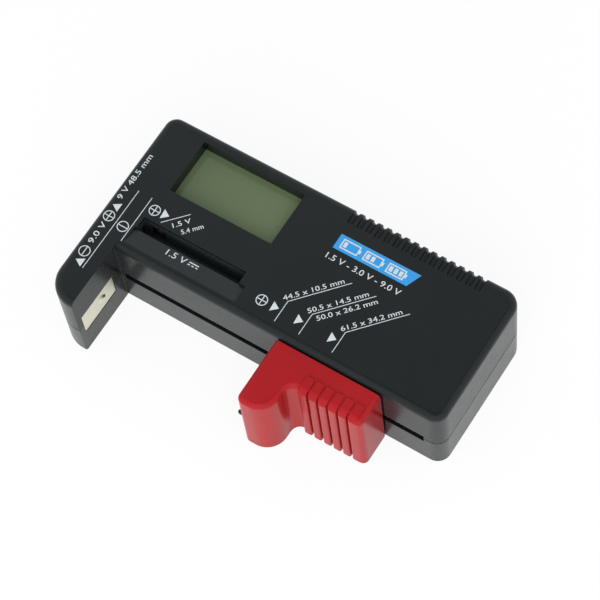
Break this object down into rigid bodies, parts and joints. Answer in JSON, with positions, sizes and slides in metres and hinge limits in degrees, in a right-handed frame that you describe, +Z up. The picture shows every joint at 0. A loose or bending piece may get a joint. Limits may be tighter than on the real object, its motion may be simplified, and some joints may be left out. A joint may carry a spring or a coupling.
{
  "type": "battery tester",
  "caption": "Pocket battery tester: L-shaped black case with a display window, a button cell slot, contacts on its arm and a red thumb slider that clamps a cell against the arm.",
  "frame": {"origin": "middle of the underside of the whole part, which lies flat", "axes": "+X along the case away from the arm, +Y from the open cell bay to the ribbed back edge, +Z up out of the display"},
  "size_m": [0.11, 0.062, 0.028],
  "materials": {
    "case_plastic": "satin moulded black plastic",
    "slider_plastic": "satin moulded red plastic",
    "white_plastic": "moulded white plastic",
    "display_glass": "clear panes of a liquid crystal display",
    "reflector": "grey green reflector sheet",
    "strip_rubber": "layered conductive rubber",
    "board": "green board with solder mask",
    "steel": "zinc plated steel",
    "nickel": "nickel plated strip",
    "brass": "plain brass strip",
    "bronze": "spring bronze leaf",
    "rivet": "dark oxidised rivet",
    "dark_component": "dark moulded component",
    "capacitor_sleeve": "blue sleeve",
    "ceramic": "tan ceramic",
    "resistor_body": "beige lacquer",
    "diode_glass": "red brown glass",
    "wire_black": "black insulation",
    "wire_red": "red insulation",
    "wire_white": "white insulation"
  },
  "bodies": {
    "case": {"top_case": "case_plastic", "bottom_case": "case_plastic", "case_screws": "steel", "display_front_glass": "display_glass", "display_rear_glass": "display_glass", "display_reflector": "reflector", "display_frame": "white_plastic", "zebra_strip": "strip_rubber", "circuit_board": "board", "board_screws": "steel", "display_chip": "dark_component", "converter_chip": "dark_component", "boost_inductor": "dark_component", "storage_capacitor": "capacitor_sleeve", "chip_capacitors": "ceramic", "chip_resistors": "dark_component", "load_resistor": "resistor_body", "blocking_diode": "diode_glass", "arm_contact": "nickel", "small_cell_contact": "nickel", "nine_volt_plus_contact": "nickel", "nine_volt_minus_contact": "nickel", "contact_rail": "brass", "rail_screws": "steel", "arm_lead": "wire_black", "small_cell_lead": "wire_white", "nine_volt_plus_lead": "wire_red", "nine_volt_minus_lead": "wire_black", "rail_lead": "wire_red"},
    "slider": {"slider_body": "slider_plastic", "slider_carriage": "white_plastic", "slider_contact": "nickel", "slider_rivet": "rivet", "slider_wiper": "bronze", "wiper_screws": "steel", "slider_screws": "steel"}
  },
  "joints": [
    {"name": "slider_slide", "type": "slide", "parent": "case", "child": "slider", "axis": [1, 0, 0], "range_m": [-0.048, 0.013]}
  ]
}
